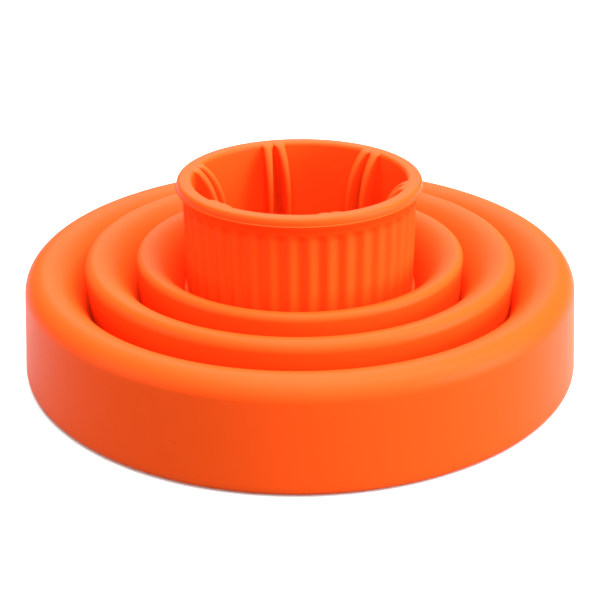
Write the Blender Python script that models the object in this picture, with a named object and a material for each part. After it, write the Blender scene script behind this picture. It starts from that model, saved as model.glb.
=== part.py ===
"""Collapsible silicone diffuser in its folded state, neck up.

Three rings nest inside one another. Each hangs from the next one out by a thin fold web that
slopes down into a crease, and the fluted neck hangs from the smallest ring in the same way.
Pulling the neck up turns one web after another over, so the rings rise one above the other.
The axis of every ring is +Z, and z = 0 is the plane that the outer band rests on.
"""

import math

import bmesh
import bpy

MM = 0.001
GAP = 0.3                       # clearance between neighbouring solids

# outer band
BASE_R = 71.5
BASE_LAND = 2.2                 # width of the flat edge that the band rests on
BASE_BEVEL = 0.5
BAND_WALL = 2.3
BAND_LIP = (64.85, 20.9, 4.9)   # centre radius, centre height and radius of the rounded lip
BAND_LIP_T = 1.7                # thickness of the lip where its web starts

# rings inside the band
MIDDLE_LIP = (52.3, 25.1, 2.46)
INNER_LIP = (40.1, 26.1, 1.7)
RING_WALL = 1.7
RING_FOOT_DROP = 1.3            # a ring's wall ends this far below its crease
RING_KNEE_RISE = 1.0            # above its crease by this much, a ring's wall starts to lean
RING_LIP_SHARE = 0.62           # thickness of a ring's lip, as a share of its rounding
RING_INNER_CUT = (0.2, 0.9)     # inwards and down, from inside the lip to the wall's inner face
MIDDLE_CREASE = (54.0, 12.9)    # radius of the wall and height of the groove beside it
INNER_CREASE = (41.4, 14.0)

# fold webs
WEB_T = 1.3
LIP_END_DEG = 102               # a lip's arc ends this far round from pointing outwards
WEB_REACH = 0.55                # share of its width that a web keeps its lip's slope for
WEB_DROP = 0.42                 # share of its height that a web stays steep for, at its foot
WEB_END_SLOPE_DEG = 76          # steepness of a web where it reaches its crease
WEB_FOOT = 1.1                  # height of a web's foot

# neck
NECK_R = 29.35
NECK_BORE_R = 26.9
NECK_BOTTOM = 12.3
NECK_CREASE = (30.6, 15.0)      # outer radius of the foot ring's base and the groove beside it
RIM_R = 31.0
RIM_TOP_R = 29.7                # radius at which the rim's flat top starts to round off
RIM_TOP = 46.8
RIM_WIDEST_Z = 44.9
RIM_BOTTOM = 42.7
RIM_ROUND = 1.0
RIM_BEVEL = 0.3
FOOT_RING_R = 30.2              # radius of the collar above the groove
FOOT_RING_TOP = 17.8
FOOT_RING_DROP = 1.2            # the foot ring starts this far below the groove

FLUTES = 40
FLUTE_FACETS = 4                # facets across one flute
FLUTE_DEPTH = 0.6
FLUTE_BOTTOM = 16.3
FLUTE_TOP = 41.9
FLUTE_FADE = 0.9                # length over which a flute runs out at each end

# grip fins: six pairs, turned inwards from the bore wall
FIN_PAIRS = 6
FIN_FIRST_PAIR_DEG = 45
FIN_WALL_OFFSET = 1.7           # from the middle of a pair to the middle of a fin, at the bore wall
FIN_TIP_OFFSET = 2.6            # the same at the fins' edges, so that a pair opens towards the axis
FIN_T = 1.1
FIN_TIP_R = 19.8
FIN_FULL_Z = 30.8               # below this height the fins stand at their full depth
FIN_ARC_R = 27.8                # radius at which a fin's curved lead-in starts, at the rim's top
FIN_END_T = 0.15                # thickness left between the lead-in's end and the bore's wall
FIN_FOOT_RISE = 0.5
FIN_FOOT_BEVEL = 1.0

# perforated face
FACE_R = 68.6
FACE_Z = (6.3, 8.8)
FACE_SEAT_R = 66.6
FACE_HOLE_R = 2.4
FACE_HOLE_RINGS = ((13.5, 6), (26.5, 12), (39.5, 18), (52.5, 24))
HOLE_SIDES = 8
SEAT_T = 1.6                    # thickness of the shelf that holds the face down
SEAT_RAMP = 1.2                 # height over which the shelf thins out into the band's wall
SEAT_FLARE = 0.6                # the wall above the shelf leans out by this much
CATCH_REACH = 1.2               # width of the catch under the face
CATCH_T = 0.7
CATCH_RAMP = 1.4                # height over which the catch runs out

# steps along the curved outlines, and where a lip's arc starts, from pointing outwards
BAND_LIP_START_DEG = -4
BAND_LIP_STEPS = 7
BAND_INSIDE_START_DEG = 80
BAND_INSIDE_STEPS = 3
RING_LIP_START_DEG = -12
RING_LIP_STEPS = 5
WEB_STEPS = 6
RIM_ARC_START_DEG = 20
RIM_ARC_STEPS = 3
FIN_ARC_STEPS = 8

# facets round each turned shape
BAND_SEGMENTS = 72
MIDDLE_SEGMENTS = 60
INNER_SEGMENTS = 54
NECK_SEGMENTS = 48

ORANGE = (1.0, 0.098, 0.016)
DEEP_ORANGE = (0.93, 0.07, 0.012)
ROUGHNESS = 0.5


def clear_scene():
    for old in list(bpy.data.objects):
        bpy.data.objects.remove(old, do_unlink=True)


def silicone(name, colour, roughness):
    material = bpy.data.materials.new(name)
    material.use_nodes = True
    shader = material.node_tree.nodes["Principled BSDF"]
    shader.inputs["Base Color"].default_value = (*colour, 1.0)
    shader.inputs["Roughness"].default_value = roughness
    shader.inputs["Metallic"].default_value = 0.0
    return material


def add_object(name, mesh_builder, material):
    """Turn a bmesh into a named object whose faces point outwards."""
    bmesh.ops.recalc_face_normals(mesh_builder, faces=mesh_builder.faces)
    mesh = bpy.data.meshes.new(name)
    mesh_builder.to_mesh(mesh)
    mesh_builder.free()
    mesh.shade_smooth()
    mesh.set_sharp_from_angle(angle=math.radians(35))
    mesh.materials.append(material)
    result = bpy.data.objects.new(name, mesh)
    bpy.context.scene.collection.objects.link(result)
    return result


def arc(centre, radius, start_deg, end_deg, steps):
    """Points on an arc in the (radius, height) plane, ends included."""
    points = []
    for i in range(steps + 1):
        angle = math.radians(start_deg + (end_deg - start_deg) * i / steps)
        points.append((centre[0] + radius * math.cos(angle), centre[1] + radius * math.sin(angle)))
    return points


def bezier(p0, p1, p2, p3, steps):
    points = []
    for i in range(steps + 1):
        t = i / steps
        weights = ((1 - t) ** 3, 3 * t * (1 - t) ** 2, 3 * t * t * (1 - t), t ** 3)
        points.append(tuple(sum(w * p[k] for w, p in zip(weights, (p0, p1, p2, p3))) for k in (0, 1)))
    return points


def spin_outline(outline, segments):
    """Turn a closed outline of (radius, height) points, in millimetres, about the Z axis."""
    shape = bmesh.new()
    verts = [shape.verts.new((r * MM, 0.0, z * MM)) for r, z in outline]
    edges = [shape.edges.new((a, b)) for a, b in zip(verts, verts[1:] + verts[:1])]
    bmesh.ops.spin(shape, geom=verts + edges, cent=(0, 0, 0), axis=(0, 0, 1), dvec=(0, 0, 0),
                   angle=math.tau, steps=segments, use_merge=True)
    bmesh.ops.remove_doubles(shape, verts=shape.verts, dist=0.00001)
    return shape


def lip_end(lip):
    """The last point of a lip's arc, where its web takes over."""
    return arc(lip, lip[2], LIP_END_DEG, LIP_END_DEG, 1)[0]


def make_outer_band(material):
    """Tall outer wall with a rounded lip, and a groove inside that holds the face."""
    lip_r, lip_z, lip_round = BAND_LIP
    end_r, end_z = lip_end(BAND_LIP)
    face_bottom, face_top = FACE_Z
    seat_top = face_top + SEAT_T
    catch_r = FACE_R - CATCH_REACH
    catch_z = face_bottom - GAP
    outline = [(BASE_R - BASE_BEVEL, 0.0), (BASE_R, BASE_BEVEL)]
    outline += arc(BAND_LIP, lip_round, BAND_LIP_START_DEG, LIP_END_DEG, BAND_LIP_STEPS)
    outline += [(end_r, end_z - BAND_LIP_T)]
    outline += arc(BAND_LIP, lip_round - BAND_WALL, BAND_INSIDE_START_DEG, 0, BAND_INSIDE_STEPS)
    outline += [
        (lip_r + lip_round - BAND_WALL + SEAT_FLARE, seat_top + SEAT_RAMP),
        (FACE_SEAT_R, seat_top),
        (FACE_SEAT_R, face_top + GAP),
        (FACE_R + GAP, face_top + GAP),
        (FACE_R + GAP, catch_z),
        (catch_r, catch_z),
        (catch_r, catch_z - CATCH_T),
        (BASE_R - BASE_LAND, catch_z - CATCH_T - CATCH_RAMP),
        (BASE_R - BASE_LAND, 0.0),
    ]
    return add_object("outer_band", spin_outline(outline, BAND_SEGMENTS), material)


def make_ring(name, lip, crease, segments, material):
    """A ring's wall, from just below its crease up to its rounded lip."""
    lip_r, lip_z, lip_round = lip
    crease_r, crease_z = crease
    end_r, end_z = lip_end(lip)
    foot_z = crease_z - RING_FOOT_DROP
    knee_z = crease_z + RING_KNEE_RISE
    lip_t = lip_round * RING_LIP_SHARE
    cut_in, cut_down = RING_INNER_CUT
    outline = [(crease_r, foot_z), (crease_r, knee_z)]
    outline += arc(lip, lip_round, RING_LIP_START_DEG, LIP_END_DEG, RING_LIP_STEPS)
    outline += [
        (end_r, end_z - lip_t),
        (lip_r + lip_round - RING_WALL - cut_in, lip_z + lip_round - lip_t - cut_down),
        (crease_r - RING_WALL, knee_z),
        (crease_r - RING_WALL, foot_z),
    ]
    return add_object(name, spin_outline(outline, segments), material)


def make_web(name, lip, crease, segments, material):
    """The thin cone that rolls over a lip and slopes down to the wall of the next ring in."""
    lip_r, lip_z, lip_round = lip
    start_r = lip_end(lip)[0] - GAP
    start_deg = math.degrees(math.acos((start_r - lip_r) / lip_round))
    start = arc(lip, lip_round, start_deg, start_deg, 1)[0]
    fall = math.radians(start_deg - 90)
    end = (crease[0] + GAP, crease[1])
    steep = math.radians(WEB_END_SLOPE_DEG)
    reach = (start[0] - end[0]) * WEB_REACH
    drop = (start[1] - end[1]) * WEB_DROP
    lead = (start[0] - reach * math.cos(fall), start[1] - reach * math.sin(fall))
    tail = (end[0] + drop * math.cos(steep), end[1] + drop * math.sin(steep))
    top = bezier(start, lead, tail, end, WEB_STEPS)
    under = [(start[0], start[1] - min(WEB_T, lip_round * RING_LIP_SHARE))]
    for before, here, after in zip(top, top[1:], top[2:]):
        along = (after[0] - before[0], after[1] - before[1])
        scale = WEB_T / math.hypot(*along)
        under.append((here[0] - along[1] * scale, here[1] + along[0] * scale))
    under += [(end[0] + WEB_FOOT, end[1] - WEB_FOOT), (end[0], end[1] - WEB_FOOT)]
    return add_object(name, spin_outline(top + under[::-1], segments), material)


def make_neck_sleeve(material):
    """Tube with soft scalloped flutes running down its outside."""
    top = RIM_BOTTOM - GAP
    first, last = FLUTE_BOTTOM + FLUTE_FADE, FLUTE_TOP - FLUTE_FADE
    outline = [(NECK_R, NECK_BOTTOM), (NECK_R, FLUTE_BOTTOM), (NECK_R, first),
               (NECK_R, last), (NECK_R, FLUTE_TOP), (NECK_R, top),
               (NECK_BORE_R, top), (NECK_BORE_R, NECK_BOTTOM)]
    shape = spin_outline(outline, FLUTES * FLUTE_FACETS)
    middle_r = (NECK_R + NECK_BORE_R) / 2
    for vert in shape.verts:
        radius = math.hypot(vert.co.x, vert.co.y)
        fluted = (first - GAP) * MM < vert.co.z < (last + GAP) * MM
        if fluted and radius > middle_r * MM:
            turn = math.atan2(vert.co.y, vert.co.x) + math.pi / 2
            cut = FLUTE_DEPTH * MM * (1 - math.cos(FLUTES * turn)) / 2
            vert.co.x *= (radius - cut) / radius
            vert.co.y *= (radius - cut) / radius
    return add_object("neck_sleeve", shape, material)


def make_neck_rim(material):
    """Thick bead with a flat top that finishes the open end of the neck."""
    outline = [(NECK_R, RIM_BOTTOM), (RIM_R - RIM_BEVEL, RIM_WIDEST_Z - RIM_BEVEL), (RIM_R, RIM_WIDEST_Z)]
    outline += arc((RIM_TOP_R, RIM_TOP - RIM_ROUND), RIM_ROUND, RIM_ARC_START_DEG, 90, RIM_ARC_STEPS)
    outline += [(NECK_BORE_R + RIM_BEVEL, RIM_TOP), (NECK_BORE_R, RIM_TOP - RIM_BEVEL),
                (NECK_BORE_R, RIM_BOTTOM)]
    return add_object("neck_rim_bead", spin_outline(outline, NECK_SEGMENTS), material)


def make_neck_foot(material):
    """Low ring round the foot of the neck, where the last web is joined."""
    outer, crease_z = NECK_CREASE
    inner = NECK_R + GAP
    bottom = crease_z - FOOT_RING_DROP
    outline = [(inner, bottom), (outer, bottom), (outer, crease_z - GAP), (FOOT_RING_R, crease_z),
               (FOOT_RING_R, FOOT_RING_TOP), (inner, FOOT_RING_TOP)]
    return add_object("neck_foot_ring", spin_outline(outline, NECK_SEGMENTS), material)


def fin_outline():
    """Side view of one fin as (radius, height) points: a curved lead-in over a straight edge."""
    rise = RIM_TOP - FIN_FULL_Z
    depth = FIN_ARC_R - FIN_TIP_R
    wall = NECK_BORE_R - GAP
    last_deg = math.degrees(math.acos((FIN_ARC_R - wall + FIN_END_T) / depth))
    foot = NECK_BOTTOM + FIN_FOOT_RISE
    points = [(wall, foot), (FIN_TIP_R + FIN_FOOT_BEVEL, foot), (FIN_TIP_R, foot + FIN_FOOT_BEVEL)]
    for i in range(FIN_ARC_STEPS + 1):
        angle = math.radians(last_deg * i / FIN_ARC_STEPS)
        points.append((FIN_ARC_R - depth * math.cos(angle), FIN_FULL_Z + rise * math.sin(angle)))
    points.append((wall, points[-1][1]))
    return points


def make_fin(name, side, angle_deg, material):
    """One blade of a pair, extruded to its thickness and turned to its pair's place in the bore."""
    lean = (FIN_TIP_OFFSET - FIN_WALL_OFFSET) / (NECK_BORE_R - FIN_TIP_R)
    shape = bmesh.new()
    verts = []
    for r, z in fin_outline():
        middle = side * (FIN_WALL_OFFSET + lean * (NECK_BORE_R - r))
        verts.append(shape.verts.new((r * MM, (middle - FIN_T / 2) * MM, z * MM)))
    flank = shape.faces.new(verts)
    swept = bmesh.ops.extrude_face_region(shape, geom=[flank])
    moved = [item for item in swept["geom"] if isinstance(item, bmesh.types.BMVert)]
    bmesh.ops.translate(shape, verts=moved, vec=(0, FIN_T * MM, 0))
    fin = add_object(name, shape, material)
    fin.rotation_euler = (0, 0, math.radians(angle_deg))
    return fin


def make_fins(material):
    pitch = 360 / FIN_PAIRS
    for pair in range(FIN_PAIRS):
        angle = FIN_FIRST_PAIR_DEG + pitch * pair
        make_fin(f"grip_fin_{pair * 2 + 1:02d}", -1, angle, material)
        make_fin(f"grip_fin_{pair * 2 + 2:02d}", 1, angle, material)


def make_face(material):
    """Perforated disc held in the band's groove, cut through by rings of round holes."""
    bottom, top = FACE_Z
    height = (top - bottom) * MM
    middle = (top + bottom) / 2 * MM
    shape = bmesh.new()
    bmesh.ops.create_cone(shape, cap_ends=True, segments=BAND_SEGMENTS, radius1=FACE_R * MM,
                          radius2=FACE_R * MM, depth=height)
    bmesh.ops.translate(shape, verts=shape.verts, vec=(0, 0, middle))
    face = add_object("diffuser_face", shape, material)

    drills = bmesh.new()
    spots = [(0.0, 0.0)]
    for ring_r, count in FACE_HOLE_RINGS:
        for i in range(count):
            angle = math.tau * i / count
            spots.append((ring_r * math.cos(angle), ring_r * math.sin(angle)))
    for x, y in spots:
        made = bmesh.ops.create_cone(drills, cap_ends=True, segments=HOLE_SIDES, radius1=FACE_HOLE_R * MM,
                                     radius2=FACE_HOLE_R * MM, depth=height * 2)
        bmesh.ops.translate(drills, verts=made["verts"], vec=(x * MM, y * MM, middle))
    cutter = add_object("face_hole_cutter", drills, material)
    cutter.hide_render = True
    cutter.display_type = "WIRE"
    cut = face.modifiers.new("holes", "BOOLEAN")
    cut.operation = "DIFFERENCE"
    cut.object = cutter
    return face


def main():
    clear_scene()
    body = silicone("orange_silicone", ORANGE, ROUGHNESS)
    thin = silicone("thin_orange_silicone", DEEP_ORANGE, ROUGHNESS)
    make_outer_band(body)
    make_web("outer_fold_web", BAND_LIP, MIDDLE_CREASE, MIDDLE_SEGMENTS, thin)
    make_ring("middle_ring", MIDDLE_LIP, MIDDLE_CREASE, MIDDLE_SEGMENTS, body)
    make_web("middle_fold_web", MIDDLE_LIP, INNER_CREASE, INNER_SEGMENTS, thin)
    make_ring("inner_ring", INNER_LIP, INNER_CREASE, INNER_SEGMENTS, body)
    make_web("inner_fold_web", INNER_LIP, NECK_CREASE, NECK_SEGMENTS, thin)
    make_neck_sleeve(body)
    make_neck_rim(body)
    make_neck_foot(body)
    make_fins(body)
    make_face(thin)


main()
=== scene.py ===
"""Collapsible silicone diffuser, folded, neck up: the fine surfaces, the silicone and a plain studio."""

import math

import bmesh
import bpy
from bpy.props import FloatProperty, FloatVectorProperty, IntProperty, PointerProperty
from bpy.types import Operator, Panel, PropertyGroup
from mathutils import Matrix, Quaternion, Vector


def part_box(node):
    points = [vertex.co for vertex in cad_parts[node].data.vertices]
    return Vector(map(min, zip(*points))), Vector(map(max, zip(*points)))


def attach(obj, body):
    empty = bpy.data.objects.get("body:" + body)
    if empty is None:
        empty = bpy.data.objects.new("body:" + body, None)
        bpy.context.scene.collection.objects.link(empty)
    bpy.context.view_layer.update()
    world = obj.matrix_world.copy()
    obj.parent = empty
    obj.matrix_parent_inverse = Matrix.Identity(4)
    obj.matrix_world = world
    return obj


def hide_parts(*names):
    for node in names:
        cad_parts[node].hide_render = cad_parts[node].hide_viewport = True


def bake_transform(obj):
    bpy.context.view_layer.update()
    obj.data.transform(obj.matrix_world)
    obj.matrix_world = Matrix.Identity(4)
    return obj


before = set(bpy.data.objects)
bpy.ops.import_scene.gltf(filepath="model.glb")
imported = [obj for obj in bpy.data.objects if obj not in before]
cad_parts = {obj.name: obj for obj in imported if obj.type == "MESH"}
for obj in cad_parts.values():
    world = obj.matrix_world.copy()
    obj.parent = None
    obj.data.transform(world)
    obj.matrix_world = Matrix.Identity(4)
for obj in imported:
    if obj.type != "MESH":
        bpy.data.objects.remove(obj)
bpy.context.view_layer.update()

bl_info = {
    "name": "Folding Silicone Diffuser",
    "version": (1, 0, 0),
    "blender": (4, 5, 0),
    "location": "View3D > Sidebar > Diffuser",
    "description": "Builds a folded silicone diffuser around its packed model",
    "category": "Object",
}

MM = 0.001

ROUND_STEPS = 256               # facets round a turned piece
FLUTE_STEPS = 16                # facets across one flute
SHARP_DEG = 40.0                # edges sharper than this are not shaded smooth

# folds, in millimetres and in degrees from pointing outwards
LIP_END_DEG = 102               # where a lip hands over to its fold web
WEB_REACH = 0.55                # share of its width that a web keeps its lip's slope for
WEB_DROP = 0.42                 # share of its height that a web stays steep for, at its foot
WEB_END_SLOPE_DEG = 76          # steepness of a web where it reaches its crease
MIDDLE_CREASE_R = 54.0
INNER_CREASE_R = 41.4
RING_CREASE_RISE = 1.3          # a crease lies this far above the foot of its ring
NECK_CREASE_RISE = 1.2
RING_KNEE_RISE = 1.0            # above its crease by this much, a ring's wall starts to lean
RING_FOOT_ROUND = 0.4
BAND_FOOT_ROUND = 1.2
BAND_FOOT_WIDTH = 2.35
BAND_INSIDE_ROUND = 0.5

# neck, in millimetres
FLUTE_BOTTOM = 16.2
FLUTE_TOP = 42.6
FLUTE_RUN_IN = 1.6              # length over which a flute deepens from its lower end
FLUTE_RUN_OUT = 2.4
SLEEVE_FLARE = 0.45             # how far the sleeve has widened where the rim bead takes over
SLEEVE_FLARE_LENGTH = 2.6
FLASH_DROP = 1.9                # the flash line lies this far below the top of the rim
FLASH_REACH = 0.22              # how far the flash stands out of the bead
RIM_INNER_ROUND = 1.1
RIM_SHOULDER = 1.35             # from the flash to where the rim's flat top starts
COLLAR_INSET = 0.75             # from the foot ring's base in to its collar

# grip fins, in millimetres
FIN_TIP_R = 19.8                # radius of a fin's straight edge
FIN_FULL_Z = 30.8               # below this height a fin stands at its full depth
FIN_ARC_R = 27.8                # radius at which a fin's curved lead-in starts, at the rim's top
FIN_LEAD_IN_DEG = 85.0          # how much of a quarter ellipse the lead-in follows
FIN_FIRST_PAIR_DEG = 45
FIN_LEAN_DEG = 7.2              # each fin of a pair leans away from the other by this much
FIN_THIN = 0.8                  # thickness at a fin's foot, as a share of its named thickness
FIN_THICKENING = 1.3            # what is added to that share up to the top
FIN_ROOT = 1.3                  # how deep a fin is sunk into the bore wall
FIN_FLARE = 0.6                 # widening of each side of a fin where it meets the wall
FIN_NODES = [f"grip_fin_{number:02d}" for number in range(1, 13)]

# silicone, as sizes of its patterns per metre
CLOUD_SCALE = 38.0
SPECK_SCALE = 170.0
GRAIN_SCALE = 1500.0

AIR_LIGHT = 0.25                # light from all round, for everything but the camera
FLOOR_RADIUS = 0.9              # in metres
LIGHT_DISTANCE = 1.0            # from the foot of the object's axis to each soft light, in metres


def node_radius(node):
    """Largest radius of a turned CAD node, in millimetres."""
    low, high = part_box(node)
    return max(abs(low[0]), high[0], abs(low[1]), high[1]) / MM


def node_bottom(node):
    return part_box(node)[0][2] / MM


def node_top(node):
    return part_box(node)[1][2] / MM


# ---------------------------------------------------------------- properties

def millimetres(name, description, default, low=0.0, high=200.0):
    return FloatProperty(name=name, description=description, default=default, min=low, max=high)


class DiffuserSizes(PropertyGroup):
    """Sizes in millimetres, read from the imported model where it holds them."""

    base_radius: millimetres("Base radius", "Radius of the outer band at its foot", node_radius("outer_band"))
    band_lip_radius: millimetres("Band lip radius", "Radius of the circle round which its lip lies", 64.85)
    band_lip_height: millimetres("Band lip height", "Height of that circle", 20.9)
    band_lip_round: millimetres("Band lip rounding", "Radius of the band's rounded lip", 4.9)
    band_wall: millimetres("Band wall", "Thickness of the band's wall", 2.3)
    middle_lip_radius: millimetres("Middle lip radius", "Radius of the circle round which it lies", 52.3)
    middle_lip_height: millimetres("Middle lip height", "Height of that circle", 25.1)
    middle_lip_round: millimetres("Middle lip rounding", "Radius of the middle ring's lip", 2.46)
    inner_lip_radius: millimetres("Inner lip radius", "Radius of the circle round which it lies", 40.1)
    inner_lip_height: millimetres("Inner lip height", "Height of that circle", 26.1)
    inner_lip_round: millimetres("Inner lip rounding", "Radius of the inner ring's lip", 1.7)
    ring_wall: millimetres("Ring wall", "Thickness of the ring walls", 1.7)
    web: millimetres("Fold web", "Thickness of the fold webs", 1.3)
    neck_radius: millimetres("Neck radius", "Radius over the flutes' ridges", node_radius("neck_sleeve"))
    bore_radius: millimetres("Bore radius", "Radius of the neck's bore", 26.9)
    flute_depth: millimetres("Flute depth", "Depth of the flutes on the neck", 0.85)
    fin_offset: millimetres("Fin offset", "From the middle of a pair to a fin's middle, at the wall", 1.7)
    fin_thickness: millimetres("Fin thickness", "Thickness of a fin at its edge", 1.1)
    hole_radius: millimetres("Hole radius", "Radius of the holes in the face", 2.4)
    flutes: IntProperty(name="Flutes", description="Number of flutes round the neck",
                        default=40, min=8, max=120)
    fin_pairs: IntProperty(name="Fin pairs", description="Pairs of grip fins in the bore",
                           default=6, min=1, max=12)


class SiliconeFinish(PropertyGroup):
    """Colour and gloss of the moulded silicone."""

    body: FloatVectorProperty(name="Body colour", description="Colour of the thick walls", subtype="COLOR",
                              size=3, min=0.0, max=1.0, default=(0.93, 0.083, 0.007))
    thin: FloatVectorProperty(name="Web colour", description="Colour of the thin fold webs", subtype="COLOR",
                              size=3, min=0.0, max=1.0, default=(0.93, 0.083, 0.007))
    face: FloatVectorProperty(name="Face colour", description="Colour of the face", subtype="COLOR", size=3,
                              min=0.0, max=1.0, default=(0.93, 0.083, 0.007))
    roughness: FloatProperty(name="Roughness", description="Roughness of the moulded surface",
                             subtype="FACTOR", default=0.45, min=0.0, max=1.0)


class StudioSettings(PropertyGroup):
    """Camera and floor."""

    distance: FloatProperty(name="Camera distance", description="From the camera to the point it looks at",
                            default=0.300, min=0.05, max=5.0, unit="LENGTH")
    elevation: FloatProperty(name="Camera elevation", description="Angle of the view above the horizon",
                             default=math.radians(25.41), min=0.0, max=1.57, unit="ROTATION", subtype="ANGLE")
    aim_height: FloatProperty(name="Aim height", description="Height of the point that the camera looks at",
                              default=0.0121, min=-0.1, max=0.2, unit="LENGTH")
    roll: FloatProperty(name="Camera roll", description="Turn of the camera about its own view",
                        default=math.radians(0.29), min=-0.2, max=0.2, unit="ROTATION", subtype="ANGLE")
    lens: FloatProperty(name="Lens", description="Focal length in millimetres",
                        default=68.4, min=10.0, max=300.0)
    floor: FloatVectorProperty(name="Floor colour", description="Colour of the floor", subtype="COLOR",
                               size=3, min=0.0, max=1.0, default=(0.95, 0.95, 0.95))


# ---------------------------------------------------------------- outlines: (radius, height) in millimetres

def arc(centre, radius, start_deg, end_deg, steps):
    points = []
    for i in range(steps + 1):
        angle = math.radians(start_deg + (end_deg - start_deg) * i / steps)
        points.append((centre[0] + radius * math.cos(angle), centre[1] + radius * math.sin(angle)))
    return points


def line(start, end, steps):
    """Points after start, up to and with end."""
    return [tuple(s + (e - s) * i / steps for s, e in zip(start, end)) for i in range(1, steps + 1)]


def bezier(p0, p1, p2, p3, steps):
    points = []
    for i in range(steps + 1):
        t = i / steps
        weights = ((1 - t) ** 3, 3 * t * (1 - t) ** 2, 3 * t * t * (1 - t), t ** 3)
        points.append(tuple(sum(w * p[k] for w, p in zip(weights, (p0, p1, p2, p3))) for k in (0, 1)))
    return points


def tangent_deg(point, centre, radius):
    """Direction from centre to where a line up from point just touches the circle's outer side."""
    dr, dz = point[0] - centre[0], point[1] - centre[1]
    return math.degrees(math.atan2(dz, dr) + math.acos(radius / math.hypot(dr, dz)))


def offset(curve, thickness):
    """The curve moved sideways by a thickness that may change along it, to the left of its direction."""
    moved = []
    last = len(curve) - 1
    for i, point in enumerate(curve):
        before, after = curve[max(i - 1, 0)], curve[min(i + 1, last)]
        along = (after[0] - before[0], after[1] - before[1])
        scale = thickness(i / last) / math.hypot(*along)
        moved.append((point[0] - along[1] * scale, point[1] + along[0] * scale))
    return moved


# ---------------------------------------------------------------- meshes

def finish_object(name, shape, material):
    """Make an object of a closed bmesh, shade it and give it its material."""
    bmesh.ops.recalc_face_normals(shape, faces=shape.faces)
    mesh = bpy.data.meshes.new(name)
    shape.to_mesh(mesh)
    shape.free()
    mesh.shade_smooth()
    mesh.set_sharp_from_angle(angle=math.radians(SHARP_DEG))
    mesh.materials.append(material)
    result = bpy.data.objects.new(name, mesh)
    bpy.context.scene.collection.objects.link(result)
    return result


def turn_outline(outline, steps=ROUND_STEPS):
    """Turn a closed outline about the Z axis into a closed bmesh, in metres."""
    shape = bmesh.new()
    rows = []
    for i in range(steps):
        angle = math.tau * i / steps
        cos, sin = math.cos(angle) * MM, math.sin(angle) * MM
        rows.append([shape.verts.new((r * cos, r * sin, z * MM)) for r, z in outline])
    for here, there in zip(rows, rows[1:] + rows[:1]):
        for k in range(len(outline)):
            after = (k + 1) % len(outline)
            shape.faces.new((here[k], there[k], there[after], here[after]))
    return shape


def evaluated_copy(source, name, material):
    """A plain mesh of what an object's modifiers make, with the source object removed."""
    graph = bpy.context.evaluated_depsgraph_get()
    mesh = bpy.data.meshes.new_from_object(source.evaluated_get(graph), preserve_all_data_layers=True,
                                           depsgraph=graph)
    mesh.name = name
    if not mesh.materials:
        mesh.materials.append(material)
    mesh.shade_smooth()
    mesh.set_sharp_from_angle(angle=math.radians(SHARP_DEG))
    bpy.data.objects.remove(source, do_unlink=True)
    result = bpy.data.objects.new(name, mesh)
    bpy.context.scene.collection.objects.link(result)
    return result


# ---------------------------------------------------------------- geometry node helpers

class Tree:
    """A node group with short ways to add nodes and join them."""

    def __init__(self, name, kind="GeometryNodeTree"):
        self.group = bpy.data.node_groups.new(name, kind)
        self.sockets = {}

    def socket(self, name, socket_type, default=None, is_output=False):
        made = self.group.interface.new_socket(
            name=name, in_out="OUTPUT" if is_output else "INPUT", socket_type=socket_type)
        if default is not None:
            made.default_value = default
        self.sockets[name] = made.identifier
        return made

    def add(self, kind, **settings):
        node = self.group.nodes.new(kind)
        for key, value in settings.items():
            setattr(node, key, value)
        return node

    def join(self, source, target):
        self.group.links.new(source, target)

    def math(self, operation, first, second=None, third=None):
        """A maths node on sockets or plain numbers; gives its result socket."""
        node = self.add("ShaderNodeMath", operation=operation)
        for place, value in enumerate((first, second, third)):
            if value is None:
                continue
            if isinstance(value, (int, float)):
                node.inputs[place].default_value = value
            else:
                self.join(value, node.inputs[place])
        return node.outputs[0]

    def smooth_range(self, value, low, high):
        """0 below low, 1 above high, and a smooth step between them."""
        node = self.add("ShaderNodeMapRange", interpolation_type="SMOOTHSTEP")
        self.join(value, node.inputs["Value"])
        node.inputs["From Min"].default_value = low
        node.inputs["From Max"].default_value = high
        return node.outputs["Result"]


def run_tree(target, tree, values, name, material):
    """Run a node group on an object and keep only the plain mesh it makes."""
    modifier = target.modifiers.new("build", "NODES")
    modifier.node_group = tree.group
    for key, value in values.items():
        modifier[tree.sockets[key]] = value
    return evaluated_copy(target, name, material)


# ---------------------------------------------------------------- silicone

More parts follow.
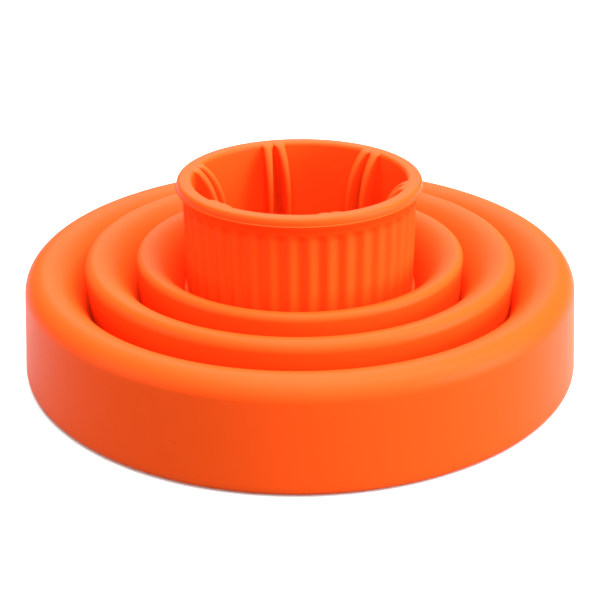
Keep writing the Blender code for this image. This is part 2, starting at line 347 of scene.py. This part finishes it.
def silicone(name, colour, roughness):
    """Satin moulded silicone: fine mould grain, faint cloudiness and a few tiny specks."""
    material = bpy.data.materials.get(name)
    if material:
        return material
    material = bpy.data.materials.new(name)
    material.use_nodes = True
    nodes, links = material.node_tree.nodes, material.node_tree.links
    shader = nodes["Principled BSDF"]
    place = nodes.new("ShaderNodeTexCoord")

    cloud = nodes.new("ShaderNodeTexNoise")
    cloud.inputs["Scale"].default_value = CLOUD_SCALE
    cloud.inputs["Detail"].default_value = 3.0
    links.new(place.outputs["Object"], cloud.inputs["Vector"])
    tint = nodes.new("ShaderNodeMix")
    tint.data_type = "RGBA"
    tint.inputs["A"].default_value = (*[c * 0.965 for c in colour], 1.0)
    tint.inputs["B"].default_value = (*[min(1.0, c * 1.035) for c in colour], 1.0)
    links.new(cloud.outputs["Fac"], tint.inputs["Factor"])

    speck = nodes.new("ShaderNodeTexVoronoi")
    speck.inputs["Scale"].default_value = SPECK_SCALE
    links.new(place.outputs["Object"], speck.inputs["Vector"])
    spot = nodes.new("ShaderNodeMapRange")
    spot.inputs["From Min"].default_value = 0.022
    spot.inputs["From Max"].default_value = 0.045
    spot.inputs["To Min"].default_value = 1.0
    spot.inputs["To Max"].default_value = 0.0
    links.new(speck.outputs["Distance"], spot.inputs["Value"])
    speckled = nodes.new("ShaderNodeMix")
    speckled.data_type = "RGBA"
    speckled.inputs["B"].default_value = (*[c * 0.72 for c in colour], 1.0)
    links.new(spot.outputs["Result"], speckled.inputs["Factor"])
    links.new(tint.outputs["Result"], speckled.inputs["A"])
    links.new(speckled.outputs["Result"], shader.inputs["Base Color"])

    grain = nodes.new("ShaderNodeTexNoise")
    grain.inputs["Scale"].default_value = GRAIN_SCALE
    grain.inputs["Detail"].default_value = 4.0
    links.new(place.outputs["Object"], grain.inputs["Vector"])
    gloss = nodes.new("ShaderNodeMapRange")
    gloss.inputs["To Min"].default_value = roughness - 0.05
    gloss.inputs["To Max"].default_value = roughness + 0.06
    links.new(grain.outputs["Fac"], gloss.inputs["Value"])
    links.new(gloss.outputs["Result"], shader.inputs["Roughness"])
    bump = nodes.new("ShaderNodeBump")
    bump.inputs["Strength"].default_value = 0.06
    bump.inputs["Distance"].default_value = 0.0001
    links.new(grain.outputs["Fac"], bump.inputs["Height"])
    links.new(bump.outputs["Normal"], shader.inputs["Normal"])

    shader.inputs["IOR"].default_value = 1.41
    shader.inputs["Specular IOR Level"].default_value = 0.12
    return material


def body_silicone():
    finish = bpy.context.scene.diffuser_finish
    return silicone("satin_silicone", finish.body, finish.roughness)


def web_silicone():
    finish = bpy.context.scene.diffuser_finish
    return silicone("satin_silicone_web", finish.thin, finish.roughness)


def face_silicone():
    finish = bpy.context.scene.diffuser_finish
    return silicone("satin_silicone_face", finish.face, finish.roughness + 0.03)


# ---------------------------------------------------------------- the folded shell

class Fold:
    """One lip and the web that runs from it down to the crease beside the next ring in."""

    def __init__(self, lip, crease, lip_wall):
        self.lip = lip
        self.crease = crease
        self.lip_wall = lip_wall

    def lip_end(self):
        return arc(self.lip, self.lip[2], LIP_END_DEG, LIP_END_DEG, 1)[0]

    def web_top(self, steps=28):
        start = self.lip_end()
        fall = math.radians(LIP_END_DEG - 90)
        steep = math.radians(WEB_END_SLOPE_DEG)
        reach = (start[0] - self.crease[0]) * WEB_REACH
        drop = (start[1] - self.crease[1]) * WEB_DROP
        lead = (start[0] - reach * math.cos(fall), start[1] - reach * math.sin(fall))
        tail = (self.crease[0] + drop * math.cos(steep), self.crease[1] + drop * math.sin(steep))
        return bezier(start, lead, tail, self.crease, steps)


def folds():
    """The three folds, from the outside in."""
    size = bpy.context.scene.diffuser_sizes
    band = (size.band_lip_radius, size.band_lip_height, size.band_lip_round)
    middle = (size.middle_lip_radius, size.middle_lip_height, size.middle_lip_round)
    inner = (size.inner_lip_radius, size.inner_lip_height, size.inner_lip_round)
    middle_crease = (MIDDLE_CREASE_R, node_bottom("middle_ring") + RING_CREASE_RISE)
    inner_crease = (INNER_CREASE_R, node_bottom("inner_ring") + RING_CREASE_RISE)
    neck_crease = (node_radius("neck_foot_ring"), node_bottom("neck_foot_ring") + NECK_CREASE_RISE)
    return [Fold(band, middle_crease, 1.6), Fold(middle, inner_crease, 1.5), Fold(inner, neck_crease, 1.1)]


def web_outline(fold, web):
    """Closed outline of a web, whose foot is sunk into the wall that it joins."""
    top = fold.web_top()
    under = offset(top, lambda t: fold.lip_wall + (web - fold.lip_wall) * min(1.0, t * 2.5))
    under[0] = (top[0][0], top[0][1] - fold.lip_wall)
    end = fold.crease
    foot = [(end[0] - 0.6, end[1] - 0.1), (end[0] - 0.6, end[1] - 1.1), (end[0] + 0.3, end[1] - 1.25)]
    return top + foot + under[:-1][::-1]


def ring_outline(fold, crease, foot_z, wall):
    """Closed outline of a ring's wall, from its foot up over its lip to where its web starts."""
    lip_r, lip_z, lip_round = fold.lip
    crease_r, crease_z = crease
    end = fold.lip_end()
    knee_z = crease_z + RING_KNEE_RISE
    round_z = foot_z + RING_FOOT_ROUND
    low = (crease_r, knee_z)
    start_deg = tangent_deg(low, fold.lip, lip_round)
    outline = arc((crease_r - RING_FOOT_ROUND, round_z), RING_FOOT_ROUND, -90, 0, 4)
    outline += line(outline[-1], low, 3)
    outline += line(low, arc(fold.lip, lip_round, start_deg, start_deg, 1)[0], 14)[:-1]
    outline += arc(fold.lip, lip_round, start_deg, LIP_END_DEG, 28)
    inside = (crease_r - wall, knee_z)
    shoulder = (lip_r + lip_round - wall - 0.1, lip_z - 0.2)
    outline += bezier((end[0], end[1] - fold.lip_wall), (lip_r, end[1] - fold.lip_wall + 0.1),
                      (shoulder[0], shoulder[1] + 1.2), shoulder, 8)
    outline += line(shoulder, inside, 6)
    outline += line(inside, (crease_r - wall, round_z), 2)
    outline += arc((crease_r - wall + RING_FOOT_ROUND, round_z), RING_FOOT_ROUND, 180, 270, 4)[1:]
    return outline


def band_outline(fold, size):
    """Closed outline of the outer band, with the groove that holds the face."""
    lip_r, lip_z, lip_round = fold.lip
    face_bottom, face_top = node_bottom("diffuser_face"), node_top("diffuser_face")
    face_r = node_radius("diffuser_face")
    edge = BAND_FOOT_ROUND
    inside_r = size.base_radius - BAND_FOOT_WIDTH
    low = (size.base_radius, edge)
    start_deg = tangent_deg(low, fold.lip, lip_round)
    outline = arc((size.base_radius - edge, edge), edge, -90, 0, 7)
    outline += line(low, arc(fold.lip, lip_round, start_deg, start_deg, 1)[0], 16)[:-1]
    outline += arc(fold.lip, lip_round, start_deg, LIP_END_DEG, 48)
    end = outline[-1]
    inner_round = lip_round - size.band_wall
    outline += [(end[0], end[1] - fold.lip_wall)]
    outline += arc(fold.lip, inner_round, 84, 0, 12)
    outline += [
        (lip_r + inner_round + 0.6, face_top + 2.8),
        (face_r - 1.6, face_top + 2.0),
        (face_r - 2.0, face_top + 1.6),
        (face_r - 2.0, face_top + 0.05),
        (face_r + 0.1, face_top + 0.05),
        (face_r + 0.1, face_bottom - 0.05),
        (face_r - 1.0, face_bottom - 0.05),
        (face_r - 1.3, face_bottom - 0.4),
        (face_r - 1.2, face_bottom - 1.0),
        (size.base_radius - 2.2, face_bottom - 2.4),
        (inside_r, edge),
    ]
    outline += arc((inside_r + BAND_INSIDE_ROUND, BAND_INSIDE_ROUND), BAND_INSIDE_ROUND, 180, 270, 4)
    return outline


class DIFFUSER_OT_outer_band(Operator):
    """Build the tall outer band with its rounded lip"""

    bl_idname = "diffuser.outer_band"
    bl_label = "Outer Band"

    def execute(self, context):
        outline = band_outline(folds()[0], context.scene.diffuser_sizes)
        band = finish_object("band_shell", turn_outline(outline), body_silicone())
        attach(band, "base")
        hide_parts("outer_band")
        return {"FINISHED"}


class DIFFUSER_OT_rings(Operator):
    """Build the middle ring and the inner ring"""

    bl_idname = "diffuser.rings"
    bl_label = "Rings"

    def execute(self, context):
        outer, middle, inner = folds()
        wall = context.scene.diffuser_sizes.ring_wall
        for node, fold, crease, body in (("middle_ring", middle, outer.crease, "middle_stage"),
                                         ("inner_ring", inner, middle.crease, "inner_stage")):
            outline = ring_outline(fold, crease, node_bottom(node), wall)
            ring = finish_object(f"{node}_shell", turn_outline(outline), body_silicone())
            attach(ring, body)
            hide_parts(node)
        return {"FINISHED"}


class DIFFUSER_OT_fold_webs(Operator):
    """Build the three thin cones that lie between the band, the rings and the neck"""

    bl_idname = "diffuser.fold_webs"
    bl_label = "Fold Webs"

    def execute(self, context):
        joined = (("outer_fold_web", "base", "middle_stage"),
                  ("middle_fold_web", "middle_stage", "inner_stage"),
                  ("inner_fold_web", "inner_stage", "neck"))
        for fold, (node, above, below) in zip(folds(), joined):
            outline = web_outline(fold, context.scene.diffuser_sizes.web)
            web = finish_object(f"{node}_skin", turn_outline(outline), web_silicone())
            top, foot = fold.lip_end()[1] * MM, fold.crease[1] * MM
            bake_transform(web)
            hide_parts(node)
        return {"FINISHED"}


# ---------------------------------------------------------------- the neck

def flute_tree():
    """Node group that presses shallow scallops into the outside of a tube."""
    tree = Tree("press flutes")
    tree.socket("Geometry", "NodeSocketGeometry")
    tree.socket("Flutes", "NodeSocketFloat")
    tree.socket("Depth", "NodeSocketFloat")
    tree.socket("Turn", "NodeSocketFloat")
    tree.socket("Bottom", "NodeSocketFloat")
    tree.socket("Top", "NodeSocketFloat")
    tree.socket("Outside", "NodeSocketFloat")
    tree.socket("Material", "NodeSocketMaterial")
    tree.socket("Geometry", "NodeSocketGeometry", is_output=True)
    entry, leave = tree.add("NodeGroupInput"), tree.add("NodeGroupOutput")
    place = tree.add("GeometryNodeInputPosition")
    parts = tree.add("ShaderNodeSeparateXYZ")
    tree.join(place.outputs[0], parts.inputs[0])
    x, y, z = parts.outputs
    radius = tree.math("SQRT", tree.math("ADD", tree.math("MULTIPLY", x, x), tree.math("MULTIPLY", y, y)))
    angle = tree.math("ADD", tree.math("ARCTAN2", y, x), entry.outputs["Turn"])
    wave = tree.math("COSINE", tree.math("MULTIPLY", angle, entry.outputs["Flutes"]))
    scallop = tree.math("MULTIPLY", tree.math("SUBTRACT", 1.0, wave), 0.5)
    rise = tree.math("DIVIDE", tree.math("SUBTRACT", z, entry.outputs["Bottom"]), FLUTE_RUN_IN * MM)
    fall = tree.math("DIVIDE", tree.math("SUBTRACT", entry.outputs["Top"], z), FLUTE_RUN_OUT * MM)
    inside = tree.smooth_range(tree.math("MINIMUM", rise, fall), 0.0, 1.0)
    outside = tree.math("GREATER_THAN", radius, entry.outputs["Outside"])
    cut = tree.math("MULTIPLY", tree.math("MULTIPLY", scallop, inside), outside)
    cut = tree.math("MULTIPLY", cut, entry.outputs["Depth"])
    shrink = tree.math("DIVIDE", tree.math("SUBTRACT", radius, cut), radius)
    moved = tree.add("ShaderNodeCombineXYZ")
    tree.join(tree.math("MULTIPLY", x, shrink), moved.inputs[0])
    tree.join(tree.math("MULTIPLY", y, shrink), moved.inputs[1])
    tree.join(z, moved.inputs[2])
    move = tree.add("GeometryNodeSetPosition")
    tree.join(entry.outputs["Geometry"], move.inputs["Geometry"])
    tree.join(moved.outputs[0], move.inputs["Position"])
    whole = tree.add("GeometryNodeRealizeInstances")
    paint = tree.add("GeometryNodeSetMaterial")
    tree.join(move.outputs["Geometry"], whole.inputs[0])
    tree.join(whole.outputs[0], paint.inputs["Geometry"])
    tree.join(entry.outputs["Material"], paint.inputs["Material"])
    tree.join(paint.outputs[0], leave.inputs[0])
    return tree


class DIFFUSER_OT_neck(Operator):
    """Build the fluted neck, its flat-topped rim and the thin ring round its foot"""

    bl_idname = "diffuser.neck"
    bl_label = "Neck"

    def execute(self, context):
        size = context.scene.diffuser_sizes
        self.sleeve(size)
        self.rim(size)
        self.foot(size)
        return {"FINISHED"}

    def sleeve(self, size):
        radius, bore = size.neck_radius, size.bore_radius
        bottom, top = node_bottom("neck_sleeve"), node_bottom("neck_rim_bead")
        flare_z = top - SLEEVE_FLARE_LENGTH
        outline = [(radius - 0.4, bottom), (radius, bottom + 0.4)]
        outline += line((radius, bottom + 0.4), (radius, flare_z), 54)
        outline += bezier((radius, flare_z), (radius, flare_z + 1.1), (radius + 0.15, top - 0.8),
                          (radius + SLEEVE_FLARE, top), 18)[1:]
        outline += [(bore, top)]
        outline += line((bore, top), (bore, bottom + 0.4), 6)
        outline += [(bore + 0.4, bottom)]
        blank = finish_object("neck_blank", turn_outline(outline, size.flutes * FLUTE_STEPS), body_silicone())
        tree = flute_tree()
        values = {
            "Flutes": float(size.flutes),
            "Depth": size.flute_depth * MM,
            "Turn": math.pi / 2 + math.pi / size.flutes,
            "Bottom": FLUTE_BOTTOM * MM,
            "Top": FLUTE_TOP * MM,
            "Outside": (radius - 0.2) * MM,
            "Material": body_silicone(),
        }
        sleeve = run_tree(blank, tree, values, "fluted_sleeve", body_silicone())
        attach(sleeve, "neck")
        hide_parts("neck_sleeve")

    def rim(self, size):
        bottom, top = node_bottom("neck_rim_bead"), node_top("neck_rim_bead")
        bore = size.bore_radius
        widest = node_radius("neck_rim_bead")
        flash_z = top - FLASH_DROP
        bead_r = widest - FLASH_REACH
        start_r = size.neck_radius + SLEEVE_FLARE
        outline = bezier((start_r, bottom), (start_r + 0.2, bottom + 0.6),
                         (widest - 0.4, flash_z - 0.9), (bead_r, flash_z - 0.12), 12)
        outline += [(widest, flash_z - 0.07), (widest, flash_z + 0.02), (bead_r, flash_z + 0.14)]
        outline += bezier((bead_r, flash_z + 0.2), (bead_r, flash_z + 1.0),
                          (widest - 0.4, top - 0.02), (widest - RIM_SHOULDER, top), 14)
        outline += line(outline[-1], (bore + RIM_INNER_ROUND, top), 5)
        outline += arc((bore + RIM_INNER_ROUND, top - RIM_INNER_ROUND), RIM_INNER_ROUND, 90, 180, 10)[1:]
        outline += line(outline[-1], (bore, bottom), 4)
        rim = finish_object("rim_bead", turn_outline(outline), body_silicone())
        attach(rim, "neck")
        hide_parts("neck_rim_bead")

    def foot(self, size):
        bottom, top = node_bottom("neck_foot_ring"), node_top("neck_foot_ring")
        outer, inner = node_radius("neck_foot_ring"), size.neck_radius - 1.0
        collar, groove = outer - COLLAR_INSET, bottom + NECK_CREASE_RISE
        outline = [(inner, bottom), (outer, bottom), (outer, groove - 0.1)]
        outline += bezier((outer, groove), (outer - 0.1, groove + 0.6),
                          (collar, groove + 0.6), (collar, top - 0.35), 6)
        outline += arc((collar - 0.3, top - 0.3), 0.3, 0, 90, 6)
        outline += [(inner, top)]
        ring = finish_object("foot_ring", turn_outline(outline), body_silicone())
        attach(ring, "neck")
        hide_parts("neck_foot_ring")


def fin_slice(reach, z, half):
    """One level slice of a fin, from the bore wall inwards: flared at the wall, rounded at its edge."""
    root, nose_start = FIN_ROOT, half - reach
    side = []
    for i in range(11):
        place = root + (nose_start - root) * i / 10
        flare = max(0.0, 1.0 + min(0.0, place) / FIN_ROOT) ** 2
        side.append((place, half + FIN_FLARE * flare))
    nose_half = side[-1][1]
    nose = []
    for i in range(1, 8):
        angle = math.pi * (0.5 - i / 8)
        nose.append((nose_start - half * math.cos(angle), nose_half * math.sin(angle)))
    return ([(r, w, z) for r, w in side] + [(r, w, z) for r, w in nose]
            + [(r, -w, z) for r, w in reversed(side)])


def fin_mesh(size, bottom, top):
    """One fin that stands on the bore wall at the origin and points along -X, thicker towards the rim."""
    wall_r = size.bore_radius
    half = size.fin_thickness / 2
    rise, depth, full = top - FIN_FULL_Z, FIN_ARC_R - FIN_TIP_R, wall_r - FIN_TIP_R
    levels = [(full - 1.0, bottom), (full - 0.3, bottom + 0.35), (full, bottom + 1.0)]
    levels += line(levels[-1], (full, FIN_FULL_Z), 8)
    for i in range(1, 49):
        angle = math.radians(FIN_LEAD_IN_DEG * i / 48)
        levels.append((wall_r - FIN_ARC_R + depth * math.cos(angle), FIN_FULL_Z + rise * math.sin(angle)))
    shape = bmesh.new()
    rows = []
    for reach, z in levels:
        share = (z - bottom) / (top - bottom)
        swell = FIN_THIN + FIN_THICKENING * share ** 2
        slice_points = fin_slice(reach, z, half * swell)
        rows.append([shape.verts.new((r * MM, w * MM, h * MM)) for r, w, h in slice_points])
    count = len(rows[0])
    for low, high in zip(rows, rows[1:]):
        for k in range(count):
            shape.faces.new((low[k], low[(k + 1) % count], high[(k + 1) % count], high[k]))
    shape.faces.new(rows[0][::-1])
    shape.faces.new(rows[-1])
    return shape


def fin_tree():
    """Node group that sets one fin up in pairs round the Z axis, each pair opening towards the axis."""
    tree = Tree("set fins in pairs")
    tree.socket("Geometry", "NodeSocketGeometry")
    tree.socket("Pairs", "NodeSocketInt")
    tree.socket("First Pair", "NodeSocketFloat")
    tree.socket("Wall Radius", "NodeSocketFloat")
    tree.socket("Offset", "NodeSocketFloat")
    tree.socket("Lean", "NodeSocketFloat")
    tree.socket("Material", "NodeSocketMaterial")
    tree.socket("Geometry", "NodeSocketGeometry", is_output=True)
    entry, leave = tree.add("NodeGroupInput"), tree.add("NodeGroupOutput")
    index = tree.add("GeometryNodeInputIndex").outputs[0]
    pair = tree.math("FLOOR", tree.math("DIVIDE", index, 2.0))
    side = tree.math("SUBTRACT", tree.math("MULTIPLY", tree.math("MODULO", index, 2.0), 2.0), 1.0)
    pitch = tree.math("DIVIDE", math.tau, entry.outputs["Pairs"])
    turn = tree.math("ADD", tree.math("MULTIPLY", pair, pitch), entry.outputs["First Pair"])
    root = tree.add("ShaderNodeCombineXYZ")
    tree.join(entry.outputs["Wall Radius"], root.inputs[0])
    tree.join(tree.math("MULTIPLY", side, entry.outputs["Offset"]), root.inputs[1])
    spin = tree.add("ShaderNodeVectorRotate", rotation_type="Z_AXIS")
    tree.join(root.outputs[0], spin.inputs["Vector"])
    tree.join(turn, spin.inputs["Angle"])
    points = tree.add("GeometryNodePoints")
    tree.join(tree.math("MULTIPLY", entry.outputs["Pairs"], 2.0), points.inputs["Count"])
    tree.join(spin.outputs[0], points.inputs["Position"])
    around = tree.add("ShaderNodeCombineXYZ")
    lean = tree.math("MULTIPLY", side, entry.outputs["Lean"])
    tree.join(tree.math("SUBTRACT", turn, lean), around.inputs[2])
    copies = tree.add("GeometryNodeInstanceOnPoints")
    tree.join(points.outputs[0], copies.inputs["Points"])
    tree.join(entry.outputs["Geometry"], copies.inputs["Instance"])
    tree.join(around.outputs[0], copies.inputs["Rotation"])
    whole = tree.add("GeometryNodeRealizeInstances")
    paint = tree.add("GeometryNodeSetMaterial")
    tree.join(copies.outputs[0], whole.inputs[0])
    tree.join(whole.outputs[0], paint.inputs["Geometry"])
    tree.join(entry.outputs["Material"], paint.inputs["Material"])
    tree.join(paint.outputs[0], leave.inputs[0])
    return tree


class DIFFUSER_OT_grip_fins(Operator):
    """Build the pairs of curved fins inside the neck"""

    bl_idname = "diffuser.grip_fins"
    bl_label = "Grip Fins"

    def execute(self, context):
        size = context.scene.diffuser_sizes
        shape = fin_mesh(size, node_bottom("grip_fin_01"), node_top("neck_rim_bead") - 0.02)
        blank = finish_object("fin_blank", shape, body_silicone())
        tree = fin_tree()
        values = {
            "Pairs": size.fin_pairs,
            "First Pair": math.radians(FIN_FIRST_PAIR_DEG),
            "Wall Radius": size.bore_radius * MM,
            "Offset": size.fin_offset * MM,
            "Lean": math.radians(FIN_LEAN_DEG),
            "Material": body_silicone(),
        }
        fins = run_tree(blank, tree, values, "grip_fins", body_silicone())
        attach(fins, "neck")
        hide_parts(*FIN_NODES)
        return {"FINISHED"}


# ---------------------------------------------------------------- the face

FACE_HOLE_RINGS = ((13.5, 6), (26.5, 12), (39.5, 18), (52.5, 24))   # radius and number of holes
FACE_EDGE = 0.5                 # rounding of the disc's edge, and depth of each hole's flared mouth
HOLE_FLARE = 0.9


def hole_tree():
    """Node group that drills rings of holes through a disc."""
    tree = Tree("drill rings of holes")
    tree.socket("Geometry", "NodeSocketGeometry")
    tree.socket("Drill", "NodeSocketObject")
    for ring, (radius, count) in enumerate(FACE_HOLE_RINGS, start=1):
        tree.socket(f"Ring {ring} Radius", "NodeSocketFloat", default=radius * MM)
        tree.socket(f"Ring {ring} Holes", "NodeSocketInt", default=count)
    tree.socket("Material", "NodeSocketMaterial")
    tree.socket("Geometry", "NodeSocketGeometry", is_output=True)
    entry, leave = tree.add("NodeGroupInput"), tree.add("NodeGroupOutput")
    drill = tree.add("GeometryNodeObjectInfo")
    tree.join(entry.outputs["Drill"], drill.inputs["Object"])
    gather = tree.add("GeometryNodeJoinGeometry")
    centre = tree.add("GeometryNodePoints")
    tree.join(centre.outputs[0], gather.inputs[0])
    for ring in range(1, len(FACE_HOLE_RINGS) + 1):
        circle = tree.add("GeometryNodeMeshCircle")
        tree.join(entry.outputs[f"Ring {ring} Holes"], circle.inputs["Vertices"])
        tree.join(entry.outputs[f"Ring {ring} Radius"], circle.inputs["Radius"])
        spots = tree.add("GeometryNodeMeshToPoints")
        tree.join(circle.outputs[0], spots.inputs["Mesh"])
        tree.join(spots.outputs[0], gather.inputs[0])
    drills = tree.add("GeometryNodeInstanceOnPoints")
    tree.join(gather.outputs[0], drills.inputs["Points"])
    tree.join(drill.outputs["Geometry"], drills.inputs["Instance"])
    solid = tree.add("GeometryNodeRealizeInstances")
    tree.join(drills.outputs[0], solid.inputs[0])
    cut = tree.add("GeometryNodeMeshBoolean", operation="DIFFERENCE", solver="EXACT")
    tree.join(entry.outputs["Geometry"], cut.inputs["Mesh 1"])
    tree.join(solid.outputs[0], cut.inputs["Mesh 2"])
    whole = tree.add("GeometryNodeRealizeInstances")
    paint = tree.add("GeometryNodeSetMaterial")
    tree.join(cut.outputs["Mesh"], whole.inputs[0])
    tree.join(whole.outputs[0], paint.inputs["Geometry"])
    tree.join(entry.outputs["Material"], paint.inputs["Material"])
    tree.join(paint.outputs[0], leave.inputs[0])
    return tree


def disc_mesh(radius, bottom, top, edge):
    """A closed disc with a rounded rim."""
    shape = bmesh.new()
    profile = arc((radius - edge, bottom + edge), edge, -90, 0, 5)
    profile += arc((radius - edge, top - edge), edge, 0, 90, 5)
    rows = []
    for r, z in profile:
        rows.append([shape.verts.new((r * MM * math.cos(math.tau * i / ROUND_STEPS),
                                      r * MM * math.sin(math.tau * i / ROUND_STEPS), z * MM))
                     for i in range(ROUND_STEPS)])
    for low, high in zip(rows, rows[1:]):
        for i in range(ROUND_STEPS):
            after = (i + 1) % ROUND_STEPS
            shape.faces.new((low[i], low[after], high[after], high[i]))
    shape.faces.new(rows[0][::-1])
    shape.faces.new(rows[-1])
    return shape


class DIFFUSER_OT_face(Operator):
    """Build the perforated face inside the band"""

    bl_idname = "diffuser.face"
    bl_label = "Face"

    def execute(self, context):
        size = context.scene.diffuser_sizes
        bottom, top = node_bottom("diffuser_face"), node_top("diffuser_face")
        shape = disc_mesh(node_radius("diffuser_face"), bottom, top, FACE_EDGE)
        disc = finish_object("face_blank", shape, face_silicone())
        hole = size.hole_radius
        mouth = hole + HOLE_FLARE
        outline = [(0.0, bottom - 1.0), (mouth, bottom - 1.0), (mouth, bottom), (hole, bottom + FACE_EDGE),
                   (hole, top - FACE_EDGE), (mouth, top), (mouth, top + 1.0), (0.0, top + 1.0)]
        shape = turn_outline(outline, 24)
        bmesh.ops.remove_doubles(shape, verts=shape.verts, dist=1e-6)
        drill = finish_object("face_drill", shape, face_silicone())
        tree = hole_tree()
        values = {"Drill": drill, "Material": face_silicone()}
        face = run_tree(disc, tree, values, "perforated_face", face_silicone())
        bpy.data.objects.remove(drill, do_unlink=True)
        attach(face, "base")
        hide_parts("diffuser_face")
        return {"FINISHED"}


# ---------------------------------------------------------------- the stage

def add_area_light(name, place, aim, width, power):
    """A square soft light at place that shines towards aim."""
    lamp = bpy.data.lights.new(name, "AREA")
    lamp.shape = "SQUARE"
    lamp.size = width
    lamp.energy = power
    holder = bpy.data.objects.new(name, lamp)
    holder.location = place
    holder.rotation_euler = (Vector(aim) - place).to_track_quat("-Z", "Y").to_euler()
    bpy.context.scene.collection.objects.link(holder)


# name, turn from the front towards the right and rise over the horizon in degrees,
# width in metres, power in watts
SOFTBOXES = (
    ("top_softbox", 0.0, 89.0, 0.6, 9.5),
    ("front_high_softbox", 0.0, 60.0, 0.5, 2.5),
    ("front_softbox", 0.0, 35.0, 0.5, 2.0),
    ("right_high_softbox", 80.0, 55.0, 0.5, 7.0),
    ("right_low_softbox", 70.0, 15.0, 0.5, 11.0),
    ("left_low_softbox", -70.0, 15.0, 0.5, 2.5),
    ("back_high_softbox", 180.0, 50.0, 0.6, 6.0),
    ("back_low_softbox", 180.0, 15.0, 0.8, 1.5),
)


class DIFFUSER_OT_stage(Operator):
    """Set up the floor, the soft lights and the camera"""

    bl_idname = "diffuser.stage"
    bl_label = "Stage"

    def execute(self, context):
        studio = context.scene.diffuser_studio
        self.floor(studio)
        self.lights(context)
        self.camera(context, studio)
        return {"FINISHED"}

    def floor(self, studio):
        shape = bmesh.new()
        bmesh.ops.create_circle(shape, cap_ends=True, segments=96, radius=FLOOR_RADIUS)
        floor = finish_object("studio_floor", shape, self.floor_paint(studio))
        floor.location.z = -0.0002
        floor.visible_diffuse = False

    def floor_paint(self, studio):
        material = bpy.data.materials.new("floor_paint")
        material.use_nodes = True
        shader = material.node_tree.nodes["Principled BSDF"]
        shader.inputs["Base Color"].default_value = (*studio.floor, 1.0)
        shader.inputs["Roughness"].default_value = 0.9
        shader.inputs["Specular IOR Level"].default_value = 0.0
        return material

    def lights(self, context):
        world = bpy.data.worlds.new("studio_air")
        world.use_nodes = True
        nodes, links = world.node_tree.nodes, world.node_tree.links
        nodes["Background"].inputs["Color"].default_value = (1.0, 1.0, 1.0, 1.0)
        path = nodes.new("ShaderNodeLightPath")
        strength = nodes.new("ShaderNodeMapRange")
        strength.inputs["To Min"].default_value = AIR_LIGHT
        strength.inputs["To Max"].default_value = 1.0
        links.new(path.outputs["Is Camera Ray"], strength.inputs["Value"])
        links.new(strength.outputs["Result"], nodes["Background"].inputs["Strength"])
        context.scene.world = world
        aim = (0.0, 0.0, 0.02)
        for name, turn, rise, width, power in SOFTBOXES:
            turn, rise = math.radians(turn), math.radians(rise)
            level = math.cos(rise)
            place = Vector((math.sin(turn) * level, -math.cos(turn) * level, math.sin(rise)))
            add_area_light(name, place * LIGHT_DISTANCE, aim, width, power)

    def camera(self, context, studio):
        lens = bpy.data.cameras.new("studio_camera")
        lens.lens = studio.lens
        lens.sensor_width = 36.0
        lens.clip_start = 0.01
        lens.clip_end = 50.0
        camera = bpy.data.objects.new("studio_camera", lens)
        back = Vector((0.0, -math.cos(studio.elevation), math.sin(studio.elevation)))
        camera.location = Vector((0.0, 0.0, studio.aim_height)) + back * studio.distance
        level = (-back).to_track_quat("-Z", "Y")
        camera.rotation_euler = (level @ Quaternion((0.0, 0.0, 1.0), -studio.roll)).to_euler()
        context.scene.collection.objects.link(camera)
        context.scene.camera = camera
        context.scene.view_settings.view_transform = "Standard"


class DIFFUSER_PT_panel(Panel):
    """Sidebar panel with the sizes and the build steps"""

    bl_label = "Folding Diffuser"
    bl_idname = "DIFFUSER_PT_panel"
    bl_space_type = "VIEW_3D"
    bl_region_type = "UI"
    bl_category = "Diffuser"

    def draw(self, context):
        scene = context.scene
        for group in (scene.diffuser_sizes, scene.diffuser_finish, scene.diffuser_studio):
            box = self.layout.box()
            for key in group.__annotations__:
                box.prop(group, key)
        for operator in BUILD_STEPS:
            self.layout.operator(operator.bl_idname)


BUILD_STEPS = (DIFFUSER_OT_outer_band, DIFFUSER_OT_rings, DIFFUSER_OT_fold_webs, DIFFUSER_OT_neck,
               DIFFUSER_OT_grip_fins, DIFFUSER_OT_face, DIFFUSER_OT_stage)
CLASSES = (DiffuserSizes, SiliconeFinish, StudioSettings, *BUILD_STEPS, DIFFUSER_PT_panel)


def register():
    for item in CLASSES:
        bpy.utils.register_class(item)
    bpy.types.Scene.diffuser_sizes = PointerProperty(type=DiffuserSizes)
    bpy.types.Scene.diffuser_finish = PointerProperty(type=SiliconeFinish)
    bpy.types.Scene.diffuser_studio = PointerProperty(type=StudioSettings)


def unregister():
    del bpy.types.Scene.diffuser_studio
    del bpy.types.Scene.diffuser_finish
    del bpy.types.Scene.diffuser_sizes
    for item in reversed(CLASSES):
        bpy.utils.unregister_class(item)


def main():
    register()
    for operator in BUILD_STEPS:
        category, action = operator.bl_idname.split(".")
        getattr(getattr(bpy.ops, category), action)()


if __name__ == "__main__":
    main()
